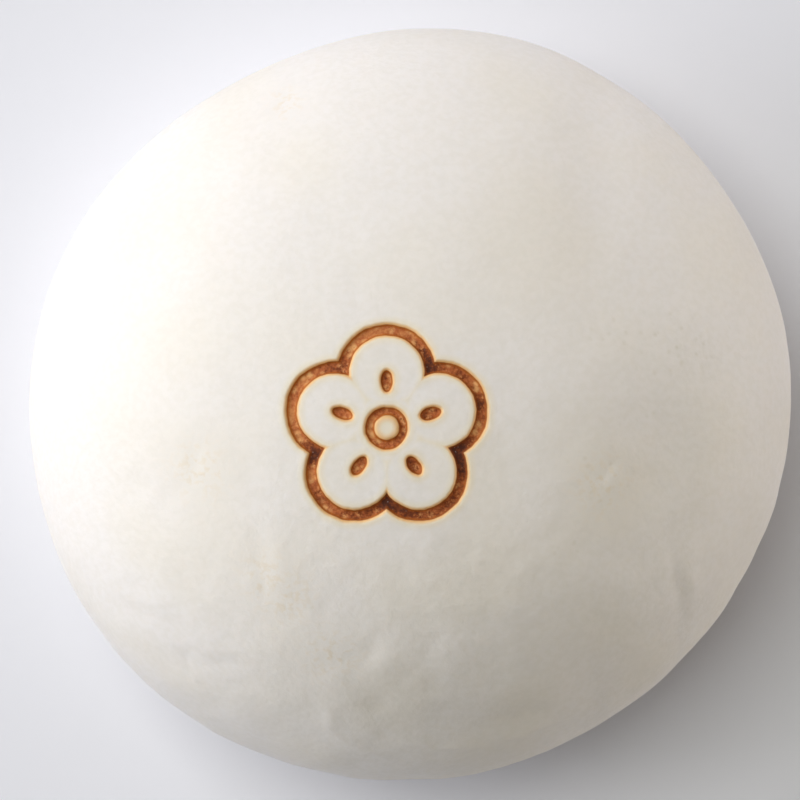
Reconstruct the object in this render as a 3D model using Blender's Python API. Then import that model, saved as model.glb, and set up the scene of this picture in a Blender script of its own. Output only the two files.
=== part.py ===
"""A steamed bun: one round of smooth white dough, flat below, with a blossom burnt into its top.

Units are metres and +Z is up. The origin is the middle of the flat base, +X is to the right
and +Y is away from whoever looks down on the bun with the blossom the right way up.
"""

import math

import bmesh
import bpy
import numpy as np

# Driving dimensions of the dough, in metres
WIDTH = 0.100
HEIGHT = 0.055
WIDEST_HEIGHT = 0.022
BASE_SHARE = 0.80  # radius of the flat base over the widest radius

# Roundness of the dome and of the tuck under it: 2 is an ellipse, more is boxier
DOME_ACROSS = 2.25
DOME_UP = 2.0
TUCK_ACROSS = 2.1
TUCK_DOWN = 2.0

# The dome stands a little fuller on the side this way, which carries its top there
FULLER_SHARE = 0.08
FULLER_WAY = math.radians(224)

# Uneven outline from above: (waves in a turn, height of a wave, direction of a crest in degrees)
OUTLINE_WAVES = (
    (2, 0.00075, 31),
    (3, 0.00018, -57),
    (4, 0.00017, -15),
    (5, 0.00020, 6),
)

# Soft swells and hollows of the upper skin: (x, y, spread, rise), a hollow has a negative rise
SWELLS = (
    (-0.0027, -0.0309, 0.0024, 0.00030),
    (-0.0100, 0.0215, 0.0050, -0.00025),
    (0.0270, 0.0215, 0.0060, -0.00030),
    (0.0120, 0.0330, 0.0040, 0.00020),
    (0.0275, -0.0090, 0.0060, -0.00030),
    (-0.0160, -0.0190, 0.0045, 0.00020),
    (0.0190, -0.0330, 0.0070, -0.00040),
    (-0.0300, -0.0120, 0.0060, -0.00020),
    (0.0350, -0.0230, 0.0030, -0.00035),
    (-0.0170, 0.0375, 0.0030, -0.00025),
)

# The burnt blossom, in metres: outline of round petals, a ring in the middle, an oval in each petal
MARK_X = -0.0030
MARK_Y = -0.0029
PETALS = 5
PETAL_PLACE = 0.0068
PETAL_RADIUS = 0.0054
STROKE = 0.0015
RING_RADIUS = 0.0021
RING_STROKE = 0.0012
OVAL_PLACE = 0.0058
OVAL_LENGTH = 0.0028
OVAL_WIDTH = 0.0016
PRESS_DEPTH = 0.0004
CUT_ABOVE = 0.0015  # how far the cutting strokes stand above the top of the dome

# How finely the surface is divided
SIDES = 96
DOME_RINGS = 30
TUCK_RINGS = 11
PETAL_POINTS = 14
RING_POINTS = 24
OVAL_POINTS = 16

# Smooth shading breaks at the walls of the pressed strokes
SHARP_ANGLE = math.radians(40)

# Colours, linear, and roughness
DOUGH_COLOUR = (0.85, 0.81, 0.73, 1.0)
DOUGH_ROUGHNESS = 0.55
SCORCH_COLOUR = (0.22, 0.055, 0.018, 1.0)
SCORCH_ROUGHNESS = 0.7


def outline_radius(turn):
    """Widest radius of the bun in the direction turn, in radians from +X."""
    radius = np.full_like(turn, WIDTH / 2)
    for waves, height, crest in OUTLINE_WAVES:
        radius += height * np.cos(waves * (turn - math.radians(crest)))
    return radius


def outline_middle():
    """Middle of the outline's bounding box, which the origin is moved to."""
    turn = np.linspace(0, 2 * math.pi, SIDES, endpoint=False)
    x = outline_radius(turn) * np.cos(turn)
    y = outline_radius(turn) * np.sin(turn)
    return (x.max() + x.min()) / 2, (y.max() + y.min()) / 2


MIDDLE_X, MIDDLE_Y = outline_middle()


def swell_rise(x, y):
    """How far the soft swells lift the dome at x, y."""
    rise = np.zeros_like(x)
    for place_x, place_y, spread, height in SWELLS:
        away = (x - place_x) ** 2 + (y - place_y) ** 2
        rise += height * np.exp(-away / (2 * spread**2))
    return rise


def dome_height(x, y):
    """Height of the dome's skin above the table at x, y, inside the outline."""
    from_middle_x = x + MIDDLE_X
    from_middle_y = y + MIDDLE_Y
    turn = np.arctan2(from_middle_y, from_middle_x)
    share = np.hypot(from_middle_x, from_middle_y) / outline_radius(turn)
    level = (1 - np.minimum(share, 1) ** DOME_ACROSS) ** (1 / DOME_UP)
    towards_full = share * np.cos(turn - FULLER_WAY)
    rise = (HEIGHT - WIDEST_HEIGHT) * level * (1 + FULLER_SHARE * towards_full)
    return WIDEST_HEIGHT + rise + level * swell_rise(x, y)


def dome_ring(step):
    """Points of one level ring of the dome: step 0 is the top and DOME_RINGS is the widest line."""
    turn = np.linspace(0, 2 * math.pi, SIDES, endpoint=False)
    share = math.sin(math.pi / 2 * step / DOME_RINGS) ** (2 / DOME_ACROSS)
    x = share * outline_radius(turn) * np.cos(turn) - MIDDLE_X
    y = share * outline_radius(turn) * np.sin(turn) - MIDDLE_Y
    return x, y, dome_height(x, y)


def tuck_ring(step):
    """Points of one ring of the underside's tuck, from just below the widest line to the base."""
    turn = np.linspace(0, 2 * math.pi, SIDES, endpoint=False)
    down = math.pi / 2 * step / TUCK_RINGS
    share = BASE_SHARE + (1 - BASE_SHARE) * max(math.cos(down), 0) ** (2 / TUCK_ACROSS)
    height = WIDEST_HEIGHT * (1 - math.sin(down) ** (2 / TUCK_DOWN))
    x = share * outline_radius(turn) * np.cos(turn) - MIDDLE_X
    y = share * outline_radius(turn) * np.sin(turn) - MIDDLE_Y
    return x, y, np.full(SIDES, height)


def add_ring(bm, points):
    """Adds a ring of points to the mesh and returns its vertices."""
    return [bm.verts.new(point) for point in zip(*points)]


def join_rings(bm, upper, lower):
    """Fills the band between two rings of equal count, facing out when upper lies inside or above."""
    count = len(upper)
    for i in range(count):
        j = (i + 1) % count
        bm.faces.new((upper[i], lower[i], lower[j], upper[j]))


def plain_material(name, colour, roughness):
    """A Principled material of one colour and roughness."""
    material = bpy.data.materials.new(name)
    material.use_nodes = True
    material.diffuse_color = colour
    shader = material.node_tree.nodes["Principled BSDF"]
    shader.inputs["Base Color"].default_value = colour
    shader.inputs["Roughness"].default_value = roughness
    shader.inputs["Metallic"].default_value = 0.0
    return material


def object_of(bm, name, material):
    """Turns a bmesh into an object of that name and material in the scene."""
    mesh = bpy.data.meshes.new(name)
    bm.to_mesh(mesh)
    bm.free()
    mesh.materials.append(material)
    made = bpy.data.objects.new(name, mesh)
    bpy.context.scene.collection.objects.link(made)
    return made


def make_bun():
    """The whole bun as one closed surface: dome, tuck and flat base."""
    bm = bmesh.new()
    top_height = dome_height(np.array([-MIDDLE_X]), np.array([-MIDDLE_Y]))[0]
    top = bm.verts.new((-MIDDLE_X, -MIDDLE_Y, top_height))
    rings = [add_ring(bm, dome_ring(step)) for step in range(1, DOME_RINGS + 1)]
    rings += [add_ring(bm, tuck_ring(step)) for step in range(1, TUCK_RINGS + 1)]
    for i in range(SIDES):
        bm.faces.new((top, rings[0][i], rings[0][(i + 1) % SIDES]))
    for upper, lower in zip(rings, rings[1:]):
        join_rings(bm, upper, lower)
    bm.faces.new(list(reversed(rings[-1])))
    return object_of(bm, "bun", plain_material("steamed_dough", DOUGH_COLOUR, DOUGH_ROUGHNESS))


def scallop(radius):
    """Outline of the union of the petals at that radius, as one closed run of arcs."""
    half_turn = math.pi / PETALS
    half_gap = PETAL_PLACE * math.sin(half_turn)
    notch = PETAL_PLACE * math.cos(half_turn) + math.sqrt(radius**2 - half_gap**2)
    reach = math.atan2(notch * math.sin(half_turn), notch * math.cos(half_turn) - PETAL_PLACE)
    points = []
    for petal in range(PETALS):
        way = math.pi / 2 + petal * 2 * math.pi / PETALS
        for step in range(PETAL_POINTS):
            bend = way + reach * (2 * step / PETAL_POINTS - 1)
            x = PETAL_PLACE * math.cos(way) + radius * math.cos(bend)
            y = PETAL_PLACE * math.sin(way) + radius * math.sin(bend)
            points.append((MARK_X + x, MARK_Y + y))
    return points


def circle(radius):
    """Points of a circle round the blossom's middle."""
    turns = np.linspace(0, 2 * math.pi, RING_POINTS, endpoint=False)
    return [(MARK_X + radius * math.cos(turn), MARK_Y + radius * math.sin(turn)) for turn in turns]


def oval(petal):
    """Points of the oval that lies in one petal and points away from the blossom's middle."""
    way = math.pi / 2 + petal * 2 * math.pi / PETALS
    points = []
    for turn in np.linspace(0, 2 * math.pi, OVAL_POINTS, endpoint=False):
        along = OVAL_PLACE + OVAL_LENGTH / 2 * math.cos(turn)
        across = OVAL_WIDTH / 2 * math.sin(turn)
        x = along * math.cos(way) - across * math.sin(way)
        y = along * math.sin(way) + across * math.cos(way)
        points.append((MARK_X + x, MARK_Y + y))
    return points


def pressed_floor(points):
    """The points laid on the dome, one pressing's depth under its skin."""
    x, y = np.array(points).T
    return x, y, dome_height(x, y) - PRESS_DEPTH


def level_top(points):
    """The same points raised above the dome, level with each other."""
    x, y = np.array(points).T
    return x, y, np.full(len(points), HEIGHT + CUT_ABOVE)


def stroke_band(bm, outer, inner):
    """A closed band between two outlines of equal count, as the face of the hot iron would cut."""
    outer_top = add_ring(bm, level_top(outer))
    inner_top = add_ring(bm, level_top(inner))
    outer_floor = add_ring(bm, pressed_floor(outer))
    inner_floor = add_ring(bm, pressed_floor(inner))
    join_rings(bm, inner_top, outer_top)
    join_rings(bm, outer_top, outer_floor)
    join_rings(bm, outer_floor, inner_floor)
    join_rings(bm, inner_floor, inner_top)


def stroke_oval(bm, outline):
    """A closed plug with an oval floor."""
    top = add_ring(bm, level_top(outline))
    floor = add_ring(bm, pressed_floor(outline))
    bm.faces.new(top)
    join_rings(bm, top, floor)
    middle = bm.verts.new([sum(v.co[axis] for v in floor) / len(floor) for axis in range(3)])
    for i, corner in enumerate(floor):
        bm.faces.new((corner, middle, floor[(i + 1) % len(floor)]))


def make_iron():
    """The strokes of the branding iron as one cutter."""
    bm = bmesh.new()
    stroke_band(bm, scallop(PETAL_RADIUS + STROKE / 2), scallop(PETAL_RADIUS - STROKE / 2))
    stroke_band(bm, circle(RING_RADIUS + RING_STROKE / 2), circle(RING_RADIUS - RING_STROKE / 2))
    for petal in range(PETALS):
        stroke_oval(bm, oval(petal))
    scorch = plain_material("scorched_dough", SCORCH_COLOUR, SCORCH_ROUGHNESS)
    iron = object_of(bm, "iron_strokes", scorch)
    iron.display_type = "WIRE"
    iron.hide_render = True
    return iron


def press_mark(bun, iron):
    """Sinks the iron's strokes into the bun, with the scorched colour on what they leave."""
    press = bun.modifiers.new("pressed_mark", "BOOLEAN")
    press.operation = "DIFFERENCE"
    press.solver = "EXACT"
    press.material_mode = "TRANSFER"
    press.object = iron


def main():
    for old in list(bpy.data.objects):
        bpy.data.objects.remove(old, do_unlink=True)
    bun = make_bun()
    press_mark(bun, make_iron())
    bun.data.shade_smooth()
    bun.data.set_sharp_from_angle(angle=SHARP_ANGLE)


main()
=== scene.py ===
"""The looks of a steamed bun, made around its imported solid.

The bun is one round of smooth white dough with a flat base. Its skin keeps the soft lumps,
dents and pinholes that proving, handling and steaming leave, and a hot iron has burnt a
blossom into its top. It lies on a pale table in soft light from the upper left.

The file is laid out as an add-on: the sizes and colours are properties, the dough and the
stage are operators, and a panel in the sidebar lists them. Units are metres and +Z is up. The
origin is the middle of the flat base, and +Y is away from whoever looks down on the bun.
"""

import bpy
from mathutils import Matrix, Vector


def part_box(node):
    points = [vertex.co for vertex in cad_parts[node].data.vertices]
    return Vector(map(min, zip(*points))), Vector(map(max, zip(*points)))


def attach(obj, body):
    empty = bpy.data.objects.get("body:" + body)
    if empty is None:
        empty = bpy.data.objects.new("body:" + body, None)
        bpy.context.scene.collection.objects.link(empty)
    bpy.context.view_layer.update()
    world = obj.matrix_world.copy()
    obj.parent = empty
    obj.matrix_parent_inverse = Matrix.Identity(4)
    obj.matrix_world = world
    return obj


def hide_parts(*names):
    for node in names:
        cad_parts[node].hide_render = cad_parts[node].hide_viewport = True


bl_info = {
    "name": "Steamed Bun Looks",
    "version": (1, 0, 0),
    "blender": (4, 5, 0),
    "location": "View3D > Sidebar > Steamed Bun",
    "description": "Makes the fine dough skin of a steamed bun and the stage that it lies on",
    "category": "Add Mesh",
}

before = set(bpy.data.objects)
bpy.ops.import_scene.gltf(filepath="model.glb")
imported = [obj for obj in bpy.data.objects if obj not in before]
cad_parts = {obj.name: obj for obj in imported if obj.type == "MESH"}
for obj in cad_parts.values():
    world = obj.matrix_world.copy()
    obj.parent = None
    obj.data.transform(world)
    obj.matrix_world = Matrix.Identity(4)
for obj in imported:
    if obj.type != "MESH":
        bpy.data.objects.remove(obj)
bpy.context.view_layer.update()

import math

import bpy
import numpy as np
from mathutils import Vector, noise

BUN_LOW, BUN_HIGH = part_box("bun")
MM = 0.001

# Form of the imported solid, as shares of its sizes: 2 is an ellipse, more is boxier
WIDEST_SHARE = 0.40  # height of the widest line over the whole height
BASE_SHARE = 0.80  # radius of the flat base over the widest radius
DOME_ACROSS = 2.25
DOME_UP = 2.0
TUCK_ACROSS = 2.1
TUCK_DOWN = 2.0
FULLER_SHARE = 0.08  # the dome is this much fuller on the side towards FULLER_WAY
FULLER_WAY = math.radians(224)

# Uneven outline from above: waves in a turn, height over the mean radius, crest in degrees
OUTLINE_WAVES = (
    (2, 0.0150, 31),
    (3, 0.0036, -57),
    (4, 0.0034, -15),
    (5, 0.0040, 6),
)

# Soft swells and hollows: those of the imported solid, with a few moved, changed or added to
# follow the real skin more closely, in millimetres: x, y, spread, rise
SWELLS = (
    (-2.7, -30.9, 3.0, 0.12),
    (-10.0, 21.5, 5.0, -0.25),
    (30.5, 19.0, 6.0, -0.55),
    (12.0, 33.0, 4.0, 0.20),
    (31.0, -9.0, 6.0, -0.30),
    (-16.0, -19.0, 4.5, 0.20),
    (21.5, -38.5, 6.5, -1.10),
    (-30.0, -12.0, 6.0, -0.20),
    (35.0, -23.0, 3.0, -0.35),
    (-17.0, 37.5, 3.0, -0.25),
    (-12.0, -45.0, 5.0, 0.80),
)

# Marks that hands and the steamer left, four broad hollows first, in millimetres and
# degrees: x, y, length, width, direction of the length, rise
HANDLING_MARKS = (
    (24.0, 30.0, 19.0, 6.0, 88, -0.52),
    (33.0, -5.0, 13.0, 7.0, 82, -0.55),
    (26.5, -37.0, 18.0, 7.5, 35, -0.60),
    (3.0, -42.0, 16.0, 6.0, -2, -0.40),
    (-16.1, 38.6, 2.2, 1.2, 40, -0.16),
    (-4.7, -30.0, 4.8, 2.0, 52, -0.10),
    (-1.9, -32.0, 4.4, 2.8, 52, 0.08),
    (3.2, -30.0, 2.6, 2.0, 20, -0.05),
    (3.4, -35.2, 2.6, 2.0, 10, -0.12),
    (-4.0, -38.6, 2.6, 1.8, 30, -0.12),
    (15.5, -26.8, 4.7, 0.9, -28, 0.08),
    (16.6, -22.0, 2.4, 2.4, 60, -0.14),
    (33.9, -23.9, 7.5, 1.2, 97, -0.17),
    (36.2, -22.9, 7.0, 1.4, 97, 0.14),
    (-10.3, -40.4, 2.8, 1.1, 110, 0.16),
    (-7.6, -43.8, 4.8, 1.1, -30, 0.20),
    (5.0, -44.2, 7.0, 1.0, -4, 0.20),
    (15.0, -42.4, 7.0, 1.0, 16, 0.30),
    (13.5, -40.2, 7.0, 1.2, 16, -0.20),
    (-28.6, -33.0, 3.4, 1.2, 90, -0.10),
    (-24.1, -32.8, 4.0, 1.2, 0, -0.09),
    (-34.5, -10.3, 3.4, 2.4, 0, -0.09),
    (-29.9, -11.9, 3.4, 2.4, 60, -0.10),
    (-27.3, -7.1, 3.4, 1.2, 90, -0.07),
    (-18.9, -20.0, 5.2, 1.6, 96, -0.09),
    (-16.7, -19.1, 4.0, 2.2, 90, 0.06),
    (26.6, 18.7, 3.8, 1.2, 75, 0.10),
    (31.7, 20.0, 4.4, 1.6, 80, 0.12),
    (12.3, 33.9, 1.8, 1.4, 0, 0.12),
    (21.4, 34.5, 3.4, 2.4, 0, -0.12),
    (-34.5, -26.5, 6.5, 1.2, -12, -0.05),
    (-34.0, -24.8, 6.5, 1.2, -12, 0.05),
    (25.8, -9.4, 2.0, 1.1, 50, 0.10),
    (24.6, -8.6, 2.0, 1.0, 50, -0.10),
    (-6.6, 13.7, 4.0, 1.4, 90, -0.07),
)
MARKS_WANDER = (3.2, 0.8)  # size of the bends in them and how far they bend, in millimetres

# Where tiny pinholes show, painted as darker spots that are partly their own tone and partly
# painted shade in the holes, in millimetres: x, y, spread
PINHOLE_PATCHES = (
    (24.8, 9.0, 2.0),
    (24.4, -9.0, 2.3),
    (33.5, 7.6, 3.4),
    (30.0, 0.2, 1.4),
    (19.8, -18.8, 1.4),
    (-10.8, -25.6, 1.4),
    (20.5, -7.0, 1.4),
)

# Where the dough has cleared to small yellowish blotches, in millimetres: x, y, spread
CLEARED_PATCHES = (
    (-15.5, -24.0, 2.6),
    (-18.0, -21.8, 2.4),
    (-26.6, -8.2, 2.6),
    (24.0, -10.2, 2.6),
    (-9.9, -31.4, 2.6),
    (-16.1, 38.8, 1.6),
)

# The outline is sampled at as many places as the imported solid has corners
OUTLINE_SAMPLES = 96
CROWN_SAMPLES = 400  # places from the middle to the edge where the dome's crown is sought

# Lumps of the skin in millimetres, broad to fine: size of a lump, height
SKIN_LUMPS = (
    (13.0, 0.090),
    (6.0, 0.060),
    (2.8, 0.024),
    (1.5, 0.011),
)
SKIN_SEED = Vector((3.7, 11.2, 5.9))

# How much of these lumps shows: least on one side, and more towards the lumpier way
LUMPIER_WAY = math.radians(-60)
LUMPIER_SPAN = (-0.3, 0.9)  # where the change starts and ends, over the mean radius
LEAST_LUMPY = 0.8
LUMPIER = 1.9  # added to the least at the end of the span

DOME_MARGIN = 0.1 * MM  # how far below the widest line a point still counts as on the dome
BASE_FADE = 3.0 * MM  # height over the flat base where the lumps are full

# Sizes of the lumps of noise that the finish is painted by
EDGE_BENDS = (2.4 * MM, 0.7 * MM)  # broad and fine bends in the edge of the burn
CRUST_GRAIN = 0.45 * MM
STRETCHES = 3.0 * MM
CLOUDS = 11.0 * MM

# A pressed stroke by the distance from its edge, which is below zero inside the stroke
SINK_STARTS = 0.15 * MM
SINK_FULL = -0.30 * MM
LIP_PLACE = 0.45 * MM
LIP_WIDTH = 0.28 * MM
LIP_RISE = 0.02 * MM
CRUST_RISE = 0.07 * MM  # height of the grain in the sunken floor

# Where the iron burnt more: along the way to the lower right, and where petals meet
LEAN_STARTS = -14 * MM
LEAN_FULL = 10 * MM
NOTCH_SPREAD = 1.3 * MM
NOTCH_CHAR = (0.5, 0.8)  # strength of the char where petals meet, by turns
RING_TOAST = 0.45  # skin inside the ring toasts as if its distance were this share of it
BURN_ROUGHNESS = 0.72

NO_SLOPE = 1e-6  # keeps a division by zero away in the middle of an oval

# Softboxes: name, direction from +X and rise above the table in degrees, distance from the
# bun, width, height, colour
SOFTBOXES = (
    ("window", 150, 28, 1.60, 2.00, 0.60, "#F7F7FF"),
    ("side", 190, 18, 1.60, 1.20, 0.60, "#F4F9FF"),
    ("key", 138, 69, 1.60, 0.90, 0.90, "#FFFEF4"),
    ("card", 20, 4, 1.20, 1.00, 0.18, "#F5F3FF"),
    ("warm_card", -10, 4, 1.20, 1.00, 0.18, "#FFEDBE"),
)

TABLE_WIDTH = 5.0
CAMERA_SHIFT = (-1.37 * MM, 0.74 * MM)  # of the camera from the middle of the bun's outline

# Sockets of the Mix node when it mixes colours
MIX_A = 6
MIX_B = 7
MIX_RESULT = 2


def linear(hex_colour):
    """The linear RGB values of an sRGB hex colour."""
    values = [int(hex_colour[i:i + 2], 16) / 255 for i in (1, 3, 5)]
    return [v / 12.92 if v <= 0.04045 else ((v + 0.055) / 1.055) ** 2.4 for v in values]


def outline_share(turn):
    """Widest radius over the mean radius in the direction turn, in radians from +X."""
    share = np.ones_like(turn)
    for waves, height, crest in OUTLINE_WAVES:
        share += height * np.cos(waves * (turn - math.radians(crest)))
    return share


def dome_level(share, turn):
    """Level of the dome, 1 in the middle and 0 at the widest line, and the same made fuller."""
    level = (1 - np.minimum(share, 1) ** DOME_ACROSS) ** (1 / DOME_UP)
    return level, level * (1 + FULLER_SHARE * share * np.cos(turn - FULLER_WAY))


def measure_frame():
    """Mean radius, middle of the outline and height of the dome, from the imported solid's box."""
    turn = np.linspace(0, 2 * math.pi, OUTLINE_SAMPLES, endpoint=False)
    x = outline_share(turn) * np.cos(turn)
    y = outline_share(turn) * np.sin(turn)
    radius = (BUN_HIGH.x - BUN_LOW.x) / (x.max() - x.min())
    middle_x = radius * (x.max() + x.min()) / 2
    middle_y = radius * (y.max() + y.min()) / 2
    crown = dome_level(np.linspace(0, 1, CROWN_SAMPLES), FULLER_WAY)[1].max()
    height = (BUN_HIGH.z - BUN_LOW.z) / (WIDEST_SHARE + (1 - WIDEST_SHARE) * crown)
    return radius, middle_x, middle_y, height


MEAN_RADIUS, MIDDLE_X, MIDDLE_Y, HEIGHT = measure_frame()


class BunShapeSettings(bpy.types.PropertyGroup):
    """Sizes of the dough and of its fine mesh."""

    radius: bpy.props.FloatProperty(
        name="Mean Radius",
        description="Mean radius of the bun at its widest line",
        default=MEAN_RADIUS,
        unit="LENGTH",
    )
    height: bpy.props.FloatProperty(
        name="Height",
        description="Height of the bun at its middle",
        default=HEIGHT,
        unit="LENGTH",
    )
    relief: bpy.props.FloatProperty(
        name="Relief",
        description="Multiplies the height of the lumps and dents of the skin",
        default=1.0,
        min=0.0,
    )
    sides: bpy.props.IntProperty(
        name="Sides",
        description="Faces in one turn round the bun",
        default=400,
        min=24,
    )
    dome_rings: bpy.props.IntProperty(
        name="Dome Rings",
        description="Rings of faces from the blossom's middle to the widest line",
        default=188,
        min=12,
    )
    tuck_rings: bpy.props.IntProperty(
        name="Tuck Rings",
        description="Rings of faces from the widest line to the flat base",
        default=36,
        min=4,
    )
    base_rings: bpy.props.IntProperty(
        name="Base Rings",
        description="Rings of faces across the flat base",
        default=18,
        min=1,
    )
    fineness: bpy.props.FloatProperty(
        name="Fineness at the Blossom",
        description="Size of the rings at the blossom over their mean size",
        default=0.36,
        min=0.1,
        max=1.0,
    )


class BunSkinSettings(bpy.types.PropertyGroup):
    """Finish of the steamed dough."""

    white: bpy.props.FloatVectorProperty(
        name="White Dough",
        description="Colour of most of the skin",
        subtype="COLOR",
        default=linear("#F5F0EA"),
    )
    cream: bpy.props.FloatVectorProperty(
        name="Cream Dough",
        description="Colour of the faintly warmer clouds in the skin",
        subtype="COLOR",
        default=linear("#F4EEE4"),
    )
    cleared: bpy.props.FloatVectorProperty(
        name="Cleared Dough",
        description="Colour of the blotches where the dough has cleared",
        subtype="COLOR",
        default=linear("#E4D2AF"),
    )
    mottle: bpy.props.FloatVectorProperty(
        name="Mottle",
        description="Colour of the finest hollows of the skin",
        subtype="COLOR",
        default=linear("#E6E0D3"),
    )
    # Partly painted shade: the pinholes have no hollow in the mesh, so this darker colour stands
    # for their tone and for the shade inside them
    pinhole_tone_and_shade: bpy.props.FloatVectorProperty(
        name="Pinholes",
        description="Colour in the tiny burst bubbles",
        subtype="COLOR",
        default=linear("#CBC3A6"),
    )
    roughness: bpy.props.FloatProperty(
        name="Roughness",
        description="Roughness of the smooth steamed skin",
        default=0.55,
        min=0.0,
        max=1.0,
    )
    peel: bpy.props.FloatProperty(
        name="Peel",
        description="Height of the finest grain of the skin",
        default=0.05 * MM,
        unit="LENGTH",
    )
    glow_depth: bpy.props.FloatProperty(
        name="Glow Depth",
        description="How far red light travels inside the dough",
        default=1.6 * MM,
        unit="LENGTH",
    )


class BunMarkSettings(bpy.types.PropertyGroup):
    """Sizes and colours of the burnt blossom."""

    x: bpy.props.FloatProperty(
        name="Middle X",
        description="Place of the blossom's middle",
        default=-3.0 * MM,
        unit="LENGTH",
    )
    y: bpy.props.FloatProperty(
        name="Middle Y",
        description="Place of the blossom's middle",
        default=-2.9 * MM,
        unit="LENGTH",
    )
    petals: bpy.props.IntProperty(
        name="Petals",
        description="Number of petals",
        default=5,
        min=3,
    )
    petal_place: bpy.props.FloatProperty(
        name="Petal Place",
        description="Distance of a petal's middle from the blossom's middle",
        default=6.8 * MM,
        unit="LENGTH",
    )
    petal_radius: bpy.props.FloatProperty(
        name="Petal Radius",
        description="Radius of a petal to the middle of its stroke",
        default=5.4 * MM,
        unit="LENGTH",
    )
    stroke: bpy.props.FloatProperty(
        name="Stroke",
        description="Width of the outline's stroke",
        default=1.5 * MM,
        unit="LENGTH",
    )
    ring_radius: bpy.props.FloatProperty(
        name="Ring Radius",
        description="Radius of the ring in the middle",
        default=2.1 * MM,
        unit="LENGTH",
    )
    ring_stroke: bpy.props.FloatProperty(
        name="Ring Stroke",
        description="Width of the ring's stroke",
        default=1.2 * MM,
        unit="LENGTH",
    )
    oval_place: bpy.props.FloatProperty(
        name="Oval Place",
        description="Distance of an oval's middle from the blossom's middle",
        default=5.8 * MM,
        unit="LENGTH",
    )
    oval_length: bpy.props.FloatProperty(
        name="Oval Length",
        description="Length of the oval in each petal",
        default=2.8 * MM,
        unit="LENGTH",
    )
    oval_width: bpy.props.FloatProperty(
        name="Oval Width",
        description="Width of the oval in each petal",
        default=1.6 * MM,
        unit="LENGTH",
    )
    press_depth: bpy.props.FloatProperty(
        name="Press Depth",
        description="How deep the hot iron sank into the skin",
        default=0.5 * MM,
        unit="LENGTH",
    )
    wander: bpy.props.FloatProperty(
        name="Wander",
        description="How far the edge of the burn wanders",
        default=0.12 * MM,
        unit="LENGTH",
    )
    lean: bpy.props.FloatProperty(
        name="Lean",
        description="How much darker the iron burnt on its lower right side, 0 for even",
        default=0.42,
        min=0.0,
        max=1.0,
    )
    glow: bpy.props.FloatVectorProperty(
        name="Toasted Glow",
        description="Faint yellow of the dough beside a stroke",
        subtype="COLOR",
        default=linear("#F1E1B6"),
    )
    fringe: bpy.props.FloatVectorProperty(
        name="Fringe",
        description="Thin peach line where the toasting starts",
        subtype="COLOR",
        default=linear("#EDBB78"),
    )
    rim: bpy.props.FloatVectorProperty(
        name="Rim",
        description="Orange brown along the edges of a stroke",
        subtype="COLOR",
        default=linear("#B8661D"),
    )
    dark_rim: bpy.props.FloatVectorProperty(
        name="Dark Rim",
        description="Brown along the edges where the iron burnt more",
        subtype="COLOR",
        default=linear("#843F0E"),
    )
    toast: bpy.props.FloatVectorProperty(
        name="Toast",
        description="Orange tan in the lightest stretches of a stroke",
        subtype="COLOR",
        default=linear("#D08A4E"),
    )
    crust: bpy.props.FloatVectorProperty(
        name="Crust",
        description="Rust brown in the middle of a stroke",
        subtype="COLOR",
        default=linear("#B66332"),
    )
    dark_crust: bpy.props.FloatVectorProperty(
        name="Dark Crust",
        description="Deep brown in the darker stretches of a stroke",
        subtype="COLOR",
        default=linear("#843F16"),
    )
    char: bpy.props.FloatVectorProperty(
        name="Char",
        description="Nearly black crust where strokes meet",
        subtype="COLOR",
        default=linear("#522512"),
    )
    blister: bpy.props.FloatVectorProperty(
        name="Blisters",
        description="Pale bubbles that stood proud of the iron",
        subtype="COLOR",
        default=linear("#E9B070"),
    )
    # Painted highlights: tiny pale glints painted into the colour of the char
    painted_glint: bpy.props.FloatVectorProperty(
        name="Painted Glints",
        description="Tiny pale glints in the char",
        subtype="COLOR",
        default=linear("#BBAAA4"),
    )


class BunStudioSettings(bpy.types.PropertyGroup):
    """Table, lights and camera."""

    table: bpy.props.FloatVectorProperty(
        name="Table",
        description="Colour of the matt table",
        subtype="COLOR",
        default=linear("#EEEFF5"),
    )
    sky: bpy.props.FloatVectorProperty(
        name="Room Light",
        description="Colour of the light from all round",
        subtype="COLOR",
        default=linear("#FFFBF8"),
    )
    sky_strength: bpy.props.FloatProperty(
        name="Room Light Strength",
        description="Strength of the light from all round",
        default=0.082,
        min=0.0,
    )
    window: bpy.props.FloatProperty(
        name="Window Power",
        description="Power of the long low softbox at the upper left",
        default=19.7,
        min=0.0,
        unit="POWER",
    )
    side: bpy.props.FloatProperty(
        name="Side Power",
        description="Power of the low softbox at the left",
        default=6.3,
        min=0.0,
        unit="POWER",
    )
    key: bpy.props.FloatProperty(
        name="Key Power",
        description="Power of the high softbox at the upper left",
        default=10.1,
        min=0.0,
        unit="POWER",
    )
    card: bpy.props.FloatProperty(
        name="Card Power",
        description="Power of the low white card at the right",
        default=4.2,
        min=0.0,
        unit="POWER",
    )
    warm_card: bpy.props.FloatProperty(
        name="Warm Card Power",
        description="Power of the low warm card at the right",
        default=2.2,
        min=0.0,
        unit="POWER",
    )
    camera_height: bpy.props.FloatProperty(
        name="Camera Height",
        description="Height of the camera above the bun's widest line",
        default=0.5,
        unit="LENGTH",
    )
    view_width: bpy.props.FloatProperty(
        name="View Width",
        description="Width of the picture at the bun's widest line",
        default=106.2 * MM,
        unit="LENGTH",
    )


def dome_height(x, y, shape):
    """Height of the dome with its soft swells at x, y."""
    from_middle_x = x + MIDDLE_X
    from_middle_y = y + MIDDLE_Y
    turn = np.arctan2(from_middle_y, from_middle_x)
    share = np.hypot(from_middle_x, from_middle_y) / (shape.radius * outline_share(turn))
    level, rise = dome_level(share, turn)
    widest = WIDEST_SHARE * shape.height
    swell = np.zeros_like(x)
    for place_x, place_y, spread, height in SWELLS:
        away = (x / MM - place_x) ** 2 + (y / MM - place_y) ** 2
        swell += height * MM * np.exp(-away / (2 * spread**2))
    return widest + (shape.height - widest) * rise + level * swell


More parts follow.
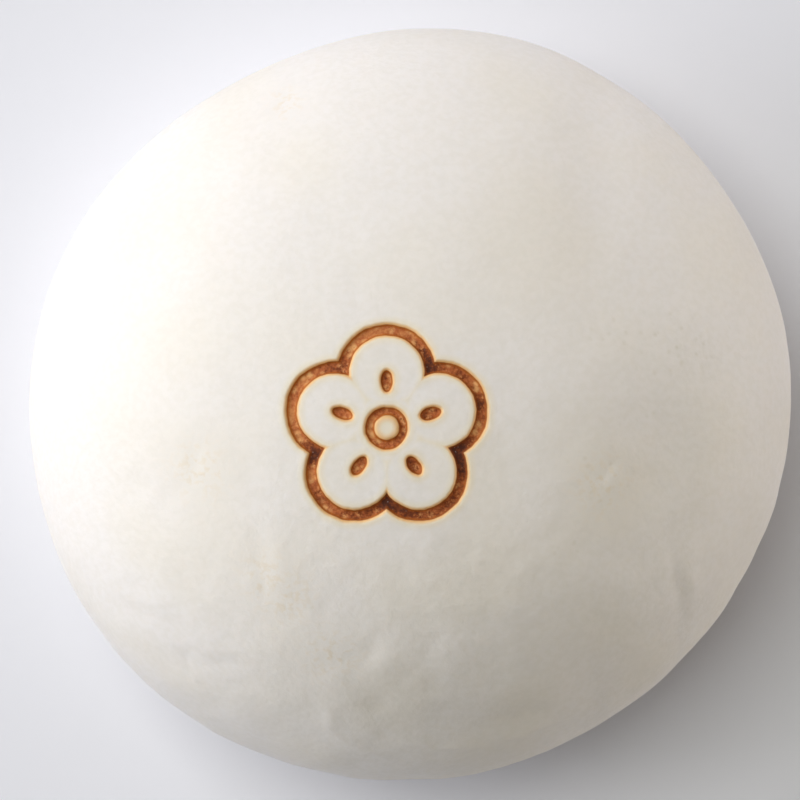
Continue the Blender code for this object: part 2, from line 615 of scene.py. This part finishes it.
def dome_ring(step, turn, shape, mark):
    """One ring of the dome: step 0 is the blossom's middle and the last is the widest line."""
    even = step / shape.dome_rings
    warped = shape.fineness * even + (1 - shape.fineness) * even**3
    share = math.sin(math.pi / 2 * warped) ** (2 / DOME_ACROSS)
    reach = share * shape.radius * outline_share(turn)
    shift = (1 - share) ** 2
    x = reach * np.cos(turn) + shift * (mark.x + MIDDLE_X) - MIDDLE_X
    y = reach * np.sin(turn) + shift * (mark.y + MIDDLE_Y) - MIDDLE_Y
    return np.column_stack((x, y, dome_height(x, y, shape)))


def tuck_ring(step, turn, shape):
    """One ring of the tuck under the widest line, the last one at the edge of the flat base."""
    down = math.pi / 2 * step / shape.tuck_rings
    share = BASE_SHARE + (1 - BASE_SHARE) * max(math.cos(down), 0) ** (2 / TUCK_ACROSS)
    height = WIDEST_SHARE * shape.height * (1 - math.sin(down) ** (2 / TUCK_DOWN))
    return flat_ring(share, height, turn, shape)


def flat_ring(share, height, turn, shape):
    """A level ring at a share of the outline's radius."""
    reach = share * shape.radius * outline_share(turn)
    x = reach * np.cos(turn) - MIDDLE_X
    y = reach * np.sin(turn) - MIDDLE_Y
    return np.column_stack((x, y, np.full_like(x, height)))


def skin_points(shape, mark):
    """Points of the smooth skin: blossom's middle, dome, tuck and base rings, base's middle."""
    turn = np.linspace(0, 2 * math.pi, shape.sides, endpoint=False)
    top = np.array([[mark.x, mark.y, 0.0]])
    top[:, 2] = dome_height(top[:, 0], top[:, 1], shape)
    rings = [dome_ring(step, turn, shape, mark) for step in range(1, shape.dome_rings + 1)]
    rings += [tuck_ring(step, turn, shape) for step in range(1, shape.tuck_rings + 1)]
    for step in range(1, shape.base_rings):
        share = BASE_SHARE * (1 - step / shape.base_rings)
        rings.append(flat_ring(share, 0.0, turn, shape))
    bottom = np.array([[-MIDDLE_X, -MIDDLE_Y, 0.0]])
    return np.concatenate([top, *rings, bottom])


def skin_faces(sides, point_count):
    """Faces between neighbouring rings, and the fans at the two ends."""
    ring_count = (point_count - 2) // sides
    here = np.arange(sides)
    after = (here + 1) % sides
    faces = [(0, 1 + i, 1 + j) for i, j in zip(here.tolist(), after.tolist())]
    for ring in range(ring_count - 1):
        upper = 1 + ring * sides
        lower = upper + sides
        band = np.column_stack((upper + here, lower + here, lower + after, upper + after))
        faces += band.tolist()
    last = 1 + (ring_count - 1) * sides
    end = point_count - 1
    faces += [(end, last + j, last + i) for i, j in zip(here.tolist(), after.tolist())]
    return faces


def smooth_step(low, high, value):
    """0 at low, 1 at high and a soft slope between, either way round."""
    t = np.clip((value - low) / (high - low), 0, 1)
    return t * t * (3 - 2 * t)


def noise_field(points, size, shift):
    """Smooth noise from about -1 to 1 at each point, with lumps of that size."""
    return np.array([noise.noise(Vector(p) / size + shift) for p in points])


def petal_ways(mark):
    """Direction of each petal from the blossom's middle."""
    return [math.pi / 2 + petal * 2 * math.pi / mark.petals for petal in range(mark.petals)]


def stroke_distance(x, y, mark):
    """Distance to the nearest edge of a burnt stroke, below zero inside the stroke."""
    from_x = x - mark.x
    from_y = y - mark.y
    from_middle = np.hypot(from_x, from_y)
    core = mark.petal_place * math.cos(math.pi / mark.petals)
    blossom = from_middle - core
    nearest = np.abs(from_middle - mark.ring_radius) - mark.ring_stroke / 2
    half_length = mark.oval_length / 2
    half_width = mark.oval_width / 2
    for way in petal_ways(mark):
        along = from_x * math.cos(way) + from_y * math.sin(way)
        across = from_y * math.cos(way) - from_x * math.sin(way)
        petal = np.hypot(along - mark.petal_place, across) - mark.petal_radius
        blossom = np.minimum(blossom, petal)
        oval_x = along - mark.oval_place
        inside = np.hypot(oval_x / half_length, across / half_width)
        slope = np.hypot(oval_x / half_length**2, across / half_width**2) + NO_SLOPE
        nearest = np.minimum(nearest, inside * (inside - 1) / slope)
    return np.minimum(nearest, np.abs(blossom) - mark.stroke / 2)


def char_field(x, y, mark):
    """How strongly the iron burnt, 0 to 1: more at the lower right, most where petals meet."""
    half_turn = math.pi / mark.petals
    half_gap = mark.petal_place * math.sin(half_turn)
    notch = mark.petal_place * math.cos(half_turn) + math.sqrt(mark.petal_radius**2 - half_gap**2)
    towards_lower_right = (x - mark.x - y + mark.y) / math.sqrt(2)
    field = mark.lean * smooth_step(LEAN_STARTS, LEAN_FULL, towards_lower_right)
    for number, way in enumerate(petal_ways(mark)):
        notch_x = mark.x + notch * math.cos(way + half_turn)
        notch_y = mark.y + notch * math.sin(way + half_turn)
        away = (x - notch_x) ** 2 + (y - notch_y) ** 2
        field += NOTCH_CHAR[number % 2] * np.exp(-away / (2 * NOTCH_SPREAD**2))
    return np.clip(field, 0, 1)


def patch_field(x, y, patches):
    """How strongly these patches show, 0 to 1."""
    field = np.zeros_like(x)
    for place_x, place_y, spread in patches:
        away = (x / MM - place_x) ** 2 + (y / MM - place_y) ** 2
        field = np.maximum(field, np.exp(-away / (2 * spread**2)))
    return field


def handling_rise(x, y):
    """Rise of the marks that handling left."""
    rise = np.zeros_like(x)
    size, reach = MARKS_WANDER
    points = np.column_stack((x, y, np.zeros_like(x)))
    bent_x = x / MM + reach * noise_field(points, size * MM, SKIN_SEED)
    bent_y = y / MM + reach * noise_field(points, size * MM, -SKIN_SEED)
    for place_x, place_y, length, width, direction, height in HANDLING_MARKS:
        way = math.radians(direction)
        from_x = bent_x - place_x
        from_y = bent_y - place_y
        along = from_x * math.cos(way) + from_y * math.sin(way)
        across = from_y * math.cos(way) - from_x * math.sin(way)
        rise += height * MM * np.exp(-2 * (along / length) ** 2 - 2 * (across / width) ** 2)
    return rise


def press_rise(distance, grain, mark):
    """Rise of the skin round the burnt strokes: a sunken floor with a soft lip beside it."""
    sunk = smooth_step(SINK_STARTS, SINK_FULL, distance)
    lip = np.exp(-(((distance - LIP_PLACE) / LIP_WIDTH) ** 2))
    return -mark.press_depth * sunk + LIP_RISE * lip + CRUST_RISE * sunk * grain


def skin_fields(points, shape, mark):
    """The rise of the skin at each point and the fields that its finish is painted by."""
    x, y, z = points.T
    widest = WIDEST_SHARE * shape.height
    on_dome = z > widest - DOME_MARGIN
    off_base = smooth_step(0.0, BASE_FADE, z)
    rise = np.zeros_like(x)
    for size, height in SKIN_LUMPS:
        rise += height * MM * noise_field(points, size * MM, SKIN_SEED)
    towards = (x * math.cos(LUMPIER_WAY) + y * math.sin(LUMPIER_WAY)) / shape.radius
    rise *= LEAST_LUMPY + LUMPIER * smooth_step(*LUMPIER_SPAN, towards)
    rise = rise * off_base + np.where(on_dome, handling_rise(x, y), 0.0)
    broad_bends, fine_bends = EDGE_BENDS
    wander = mark.wander * noise_field(points, broad_bends, SKIN_SEED)
    wander += mark.wander / 2 * noise_field(points, fine_bends, SKIN_SEED)
    distance = np.where(on_dome, stroke_distance(x, y, mark) + wander, shape.radius)
    grain = noise_field(points, CRUST_GRAIN, SKIN_SEED)
    rise = shape.relief * rise + press_rise(distance, grain, mark)
    in_ring = np.hypot(x - mark.x, y - mark.y) < mark.ring_radius
    toasted = np.where(in_ring, np.minimum(distance, RING_TOAST * distance), distance)
    fields = {
        "stroke_distance": toasted / MM,
        "char": np.where(on_dome, char_field(x, y, mark), 0.0),
        "stretches": noise_field(points, STRETCHES, SKIN_SEED),
        "clouds": noise_field(points, CLOUDS, SKIN_SEED),
        "pinholes": np.where(on_dome, patch_field(x, y, PINHOLE_PATCHES), 0.0),
        "cleared": np.where(on_dome, patch_field(x, y, CLEARED_PATCHES), 0.0),
    }
    return rise, fields


def vertex_vectors(mesh_vectors, count):
    """A mesh's vectors as rows of three numbers."""
    flat = np.zeros(count * 3, np.float32)
    mesh_vectors.foreach_get("vector", flat)
    return flat.reshape(-1, 3).astype(float)


def make_dough(shape, mark):
    """The whole bun as one closed mesh with its relief and its fields."""
    points = skin_points(shape, mark)
    mesh = bpy.data.meshes.new("bun_dough")
    mesh.from_pydata(points.tolist(), [], skin_faces(shape.sides, len(points)))
    normals = vertex_vectors(mesh.vertex_normals, len(points))
    rise, fields = skin_fields(points, shape, mark)
    points += normals * rise[:, None]
    points[:, 2] = np.maximum(points[:, 2], BUN_LOW.z)
    mesh.vertices.foreach_set("co", points.astype(np.float32).ravel())
    for name, values in fields.items():
        attribute = mesh.attributes.new(name, "FLOAT", "POINT")
        attribute.data.foreach_set("value", values.astype(np.float32))
    mesh.shade_smooth()
    mesh.update()
    dough = bpy.data.objects.new("bun_dough", mesh)
    bpy.context.scene.collection.objects.link(dough)
    return dough


def add_node(tree, kind, settings=None, inputs=None):
    """Adds a node with its settings, and gives each input a value or a link."""
    node = tree.nodes.new(kind)
    for name, value in (settings or {}).items():
        setattr(node, name, value)
    for key, value in (inputs or {}).items():
        if isinstance(value, bpy.types.NodeSocket):
            tree.links.new(value, node.inputs[key])
        else:
            node.inputs[key].default_value = value
    return node


def opaque(colour):
    """A linear colour with full alpha, as colour sockets want it."""
    return (*colour, 1.0)


def dough_colour(tree, place, peel, skin):
    """Colour of the plain steamed skin, with hollows where the noise peel is low."""
    clouds = add_node(tree, "ShaderNodeAttribute", {"attribute_name": "clouds"})
    cloudy = add_node(
        tree,
        "ShaderNodeMapRange",
        {"interpolation_type": "SMOOTHSTEP"},
        {"Value": clouds.outputs["Fac"], "From Min": -0.4, "From Max": 0.6},
    )
    colour = add_node(
        tree,
        "ShaderNodeMix",
        {"data_type": "RGBA"},
        {"Factor": cloudy.outputs["Result"], MIX_A: opaque(skin.white), MIX_B: opaque(skin.cream)},
    ).outputs[MIX_RESULT]
    hollow = add_node(
        tree,
        "ShaderNodeMapRange",
        inputs={"Value": peel, "From Min": 0.62, "From Max": 0.38, "To Max": 0.20},
    )
    colour = add_node(
        tree,
        "ShaderNodeMix",
        {"data_type": "RGBA"},
        {"Factor": hollow.outputs["Result"], MIX_A: colour, MIX_B: opaque(skin.mottle)},
    ).outputs[MIX_RESULT]

    # In patches, uneven blotches of cleared dough where the noise peel is high, and burst
    # bubbles about half a millimetre across, darker for their own tone and for painted shade in
    # the holes: the field that places them, its values where they end and where they are full,
    # and their strength
    cells = add_node(
        tree,
        "ShaderNodeTexVoronoi",
        inputs={"Vector": place, "Scale": 1 / (1.4 * MM), "Randomness": 1.0},
    )
    for name, field, none, full, most, spot_colour in (
        ("cleared", peel, 0.44, 0.68, 0.40, skin.cleared),
        # pinholes: darker spots, partly their own tone and partly painted shade in the holes
        ("pinholes", cells.outputs["Distance"], 0.36, 0.0, 0.34, skin.pinhole_tone_and_shade),
    ):
        patches = add_node(tree, "ShaderNodeAttribute", {"attribute_name": name})
        strength = add_node(
            tree,
            "ShaderNodeMapRange",
            inputs={"Value": patches.outputs["Fac"], "To Max": most},
        )
        spot = add_node(
            tree,
            "ShaderNodeMapRange",
            {"interpolation_type": "SMOOTHSTEP"},
            {
                "Value": field,
                "From Min": none,
                "From Max": full,
                "To Max": strength.outputs["Result"],
            },
        )
        colour = add_node(
            tree,
            "ShaderNodeMix",
            {"data_type": "RGBA"},
            {"Factor": spot.outputs["Result"], MIX_A: colour, MIX_B: opaque(spot_colour)},
        ).outputs[MIX_RESULT]
    return colour


def scorch_colour(tree, place, mark, plain):
    """Lays the burnt strokes over the plain skin's colour, and says where they are."""
    distance = add_node(tree, "ShaderNodeAttribute", {"attribute_name": "stroke_distance"})
    burnt_more = add_node(tree, "ShaderNodeAttribute", {"attribute_name": "char"})
    stretches = add_node(tree, "ShaderNodeAttribute", {"attribute_name": "stretches"})

    # Bands by distance from the edge in millimetres: where each starts and is full
    bands = {}
    for name, start, full, most in (
        ("glow", 1.3, 0.0, 0.55),
        ("fringe", 0.44, 0.0, 0.90),
        ("rim", 0.03, -0.12, 1.0),
        ("crust", -0.12, -0.42, 1.0),
    ):
        bands[name] = add_node(
            tree,
            "ShaderNodeMapRange",
            {"interpolation_type": "SMOOTHSTEP"},
            {"Value": distance.outputs["Fac"], "From Min": start, "From Max": full, "To Max": most},
        ).outputs["Result"]

    # How dark the crust is: long stretches, grains, and where the iron burnt more
    grain = add_node(
        tree,
        "ShaderNodeTexNoise",
        inputs={"Vector": place, "Scale": 1 / (0.5 * MM), "Detail": 3.0, "Roughness": 0.65},
    )
    grainy = add_node(
        tree,
        "ShaderNodeMath",
        {"operation": "MULTIPLY_ADD"},
        {0: grain.outputs["Fac"], 1: 1.7, 2: burnt_more.outputs["Fac"]},
    )
    darkness = add_node(
        tree,
        "ShaderNodeMath",
        {"operation": "MULTIPLY_ADD"},
        {0: stretches.outputs["Fac"], 1: 0.45, 2: grainy.outputs[0]},
    )
    toasting = add_node(
        tree,
        "ShaderNodeMapRange",
        inputs={"Value": darkness.outputs[0], "From Min": 0.60, "From Max": 1.90},
    ).outputs["Result"]
    ramp = add_node(tree, "ShaderNodeValToRGB", inputs={"Fac": toasting})
    steps = ramp.color_ramp.elements
    steps.remove(steps[1])
    steps[0].position = 0.0
    steps[0].color = opaque(mark.toast)
    for position, colour in ((0.35, mark.crust), (0.62, mark.dark_crust), (0.90, mark.char)):
        steps.new(position).color = opaque(colour)

    # Spots in the crust: cell size, reach, strength, the toasting where they are strongest
    # and the one where they end. Blisters where it is light, grains nearly everywhere, and
    # painted highlights, tiny pale glints, where it is charred.
    crust = ramp.outputs["Color"]
    sizes = {}
    for size in (1.05, 0.45):
        sizes[size] = add_node(
            tree,
            "ShaderNodeTexVoronoi",
            inputs={"Vector": place, "Scale": 1 / (size * MM), "Randomness": 1.0},
        )
    for size, reach, most, strongest, none, colour in (
        (0.45, 0.42, 0.60, -0.20, 0.95, mark.toast),
        (1.05, 0.56, 1.00, 0.20, 0.60, mark.blister),
        # painted highlights: tiny pale glints where the crust is charred
        (0.45, 0.24, 0.80, 1.00, 0.70, mark.painted_glint),
    ):
        spot = add_node(
            tree,
            "ShaderNodeMapRange",
            {"interpolation_type": "SMOOTHSTEP"},
            {
                "Value": sizes[size].outputs["Distance"],
                "From Min": reach,
                "From Max": reach / 4,
                "To Max": most,
            },
        )
        here = add_node(
            tree,
            "ShaderNodeMapRange",
            inputs={"Value": toasting, "From Min": none, "From Max": strongest},
        )
        shown = add_node(
            tree,
            "ShaderNodeMath",
            {"operation": "MULTIPLY"},
            {0: spot.outputs["Result"], 1: here.outputs["Result"]},
        )
        crust = add_node(
            tree,
            "ShaderNodeMix",
            {"data_type": "RGBA"},
            {"Factor": shown.outputs[0], MIX_A: crust, MIX_B: opaque(colour)},
        ).outputs[MIX_RESULT]
    rim = add_node(
        tree,
        "ShaderNodeMix",
        {"data_type": "RGBA"},
        {"Factor": toasting, MIX_A: opaque(mark.rim), MIX_B: opaque(mark.dark_rim)},
    )

    colour = plain
    for name, layer in (
        ("glow", opaque(mark.glow)),
        ("fringe", opaque(mark.fringe)),
        ("rim", rim.outputs[MIX_RESULT]),
        ("crust", crust),
    ):
        colour = add_node(
            tree,
            "ShaderNodeMix",
            {"data_type": "RGBA"},
            {"Factor": bands[name], MIX_A: colour, MIX_B: layer},
        ).outputs[MIX_RESULT]
    return colour, bands["rim"]


def steamed_wheat_dough(skin, mark):
    """White wheat dough, proved smooth and steamed, with a mark burnt in by a hot iron.

    Steam sets the skin to a soft satin, and light that goes in spreads and comes out warmer, so
    shadows stay soft and creamy. The burn is dry, grainy and dull: a thin yellow glow, an
    orange brown rim, a rust crust with paler blisters, and char where strokes meet.
    """
    material = bpy.data.materials.new("steamed_wheat_dough")
    material.use_nodes = True
    tree = material.node_tree
    place = add_node(tree, "ShaderNodeTexCoord").outputs["Object"]
    peel = add_node(
        tree,
        "ShaderNodeTexNoise",
        inputs={"Vector": place, "Scale": 1 / (0.9 * MM), "Detail": 2.0},
    )
    plain = dough_colour(tree, place, peel.outputs["Fac"], skin)
    colour, burnt = scorch_colour(tree, place, mark, plain)
    bump = add_node(
        tree,
        "ShaderNodeBump",
        inputs={"Distance": skin.peel, "Height": peel.outputs["Fac"]},
    )
    roughness = add_node(
        tree,
        "ShaderNodeMapRange",
        inputs={"Value": burnt, "To Min": skin.roughness, "To Max": BURN_ROUGHNESS},
    )
    shader = tree.nodes["Principled BSDF"]
    tree.links.new(colour, shader.inputs["Base Color"])
    tree.links.new(roughness.outputs["Result"], shader.inputs["Roughness"])
    tree.links.new(bump.outputs["Normal"], shader.inputs["Normal"])
    shader.subsurface_method = "BURLEY"
    shader.inputs["IOR"].default_value = 1.40
    shader.inputs["Subsurface Weight"].default_value = 0.4
    shader.inputs["Subsurface Radius"].default_value = (1.0, 0.72, 0.48)
    shader.inputs["Subsurface Scale"].default_value = skin.glow_depth
    return material


def matt_board(studio):
    """Coated matt board: an even, faintly cool white with no shine."""
    material = bpy.data.materials.new("matt_white_board")
    material.use_nodes = True
    tree = material.node_tree
    place = add_node(tree, "ShaderNodeTexCoord").outputs["Object"]
    fibres = add_node(
        tree,
        "ShaderNodeTexNoise",
        inputs={"Vector": place, "Scale": 1 / (1.5 * MM), "Detail": 3.0},
    )
    bump = add_node(
        tree,
        "ShaderNodeBump",
        inputs={"Strength": 0.2, "Distance": 0.02 * MM, "Height": fibres.outputs["Fac"]},
    )
    shader = tree.nodes["Principled BSDF"]
    tree.links.new(bump.outputs["Normal"], shader.inputs["Normal"])
    shader.inputs["Base Color"].default_value = opaque(studio.table)
    shader.inputs["Roughness"].default_value = 0.85
    return material


def add_softbox(name, direction, rise, distance, width, height, colour, power):
    """A soft rectangular light that shines on the bun and isn't seen itself."""
    data = bpy.data.lights.new(name, "AREA")
    data.shape = "RECTANGLE"
    data.size = width
    data.size_y = height
    data.energy = power
    data.color = linear(colour)
    light = bpy.data.objects.new(name, data)
    bpy.context.scene.collection.objects.link(light)
    turn = math.radians(direction)
    lift = math.radians(rise)
    way = Vector((math.cos(turn) * math.cos(lift), math.sin(turn) * math.cos(lift), math.sin(lift)))
    light.location = Vector((0, 0, BUN_HIGH.z / 2)) + way * distance
    light.rotation_euler = way.to_track_quat("Z", "Y").to_euler()
    light.visible_camera = False


def make_table(studio):
    """The plain pale table."""
    half = TABLE_WIDTH / 2
    corners = [(-half, -half, 0), (half, -half, 0), (half, half, 0), (-half, half, 0)]
    mesh = bpy.data.meshes.new("table")
    mesh.from_pydata(corners, [], [(0, 1, 2, 3)])
    mesh.materials.append(matt_board(studio))
    table = bpy.data.objects.new("table", mesh)
    bpy.context.scene.collection.objects.link(table)
    table.location.z = BUN_LOW.z


def make_lights(studio):
    """Even light from all round, the softboxes at the left and the two cards at the right."""
    world = bpy.data.worlds.new("studio_room")
    world.use_nodes = True
    background = world.node_tree.nodes["Background"]
    background.inputs["Color"].default_value = opaque(studio.sky)
    background.inputs["Strength"].default_value = studio.sky_strength
    bpy.context.scene.world = world
    for name, *softbox in SOFTBOXES:
        add_softbox(name, *softbox, getattr(studio, name))


def make_camera(studio):
    """A long lens straight above the bun, with the blossom the right way up."""
    data = bpy.data.cameras.new("camera")
    data.sensor_width = 36.0
    data.lens = data.sensor_width * studio.camera_height / studio.view_width
    camera = bpy.data.objects.new("camera", data)
    bpy.context.scene.collection.objects.link(camera)
    shift_x, shift_y = CAMERA_SHIFT
    height = WIDEST_SHARE * HEIGHT + studio.camera_height
    camera.location = (-MIDDLE_X + shift_x, -MIDDLE_Y + shift_y, height)
    bpy.context.scene.camera = camera


class BUN_OT_dough(bpy.types.Operator):
    """Make the bun's fine skin and its finish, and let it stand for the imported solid"""

    bl_idname = "bun.dough"
    bl_label = "Make Dough"

    def execute(self, context):
        scene = context.scene
        dough = make_dough(scene.bun_shape, scene.bun_mark)
        dough.data.materials.append(steamed_wheat_dough(scene.bun_skin, scene.bun_mark))
        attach(dough, "root")
        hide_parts("bun")
        return {"FINISHED"}


class BUN_OT_stage(bpy.types.Operator):
    """Make the table, the lights and the camera"""

    bl_idname = "bun.stage"
    bl_label = "Make Stage"

    def execute(self, context):
        studio = context.scene.bun_studio
        make_table(studio)
        make_lights(studio)
        make_camera(studio)
        context.scene.view_settings.view_transform = "Standard"
        return {"FINISHED"}


class BUN_PT_looks(bpy.types.Panel):
    """Lists the bun's sizes, colours and operators"""

    bl_label = "Steamed Bun"
    bl_idname = "BUN_PT_looks"
    bl_space_type = "VIEW_3D"
    bl_region_type = "UI"
    bl_category = "Steamed Bun"

    def draw(self, context):
        layout = self.layout
        for name, operator in (
            ("bun_shape", None),
            ("bun_skin", None),
            ("bun_mark", BUN_OT_dough.bl_idname),
            ("bun_studio", BUN_OT_stage.bl_idname),
        ):
            settings = getattr(context.scene, name)
            box = layout.box()
            for key in settings.__annotations__:
                box.prop(settings, key)
            if operator:
                box.operator(operator)


SETTINGS = {
    "bun_shape": BunShapeSettings,
    "bun_skin": BunSkinSettings,
    "bun_mark": BunMarkSettings,
    "bun_studio": BunStudioSettings,
}
CLASSES = (*SETTINGS.values(), BUN_OT_dough, BUN_OT_stage, BUN_PT_looks)


def register():
    for cls in CLASSES:
        bpy.utils.register_class(cls)
    for name, cls in SETTINGS.items():
        setattr(bpy.types.Scene, name, bpy.props.PointerProperty(type=cls))


def unregister():
    for name in SETTINGS:
        delattr(bpy.types.Scene, name)
    for cls in reversed(CLASSES):
        bpy.utils.unregister_class(cls)


def main():
    register()
    bpy.ops.bun.dough()
    bpy.ops.bun.stage()


if __name__ == "__main__":
    main()
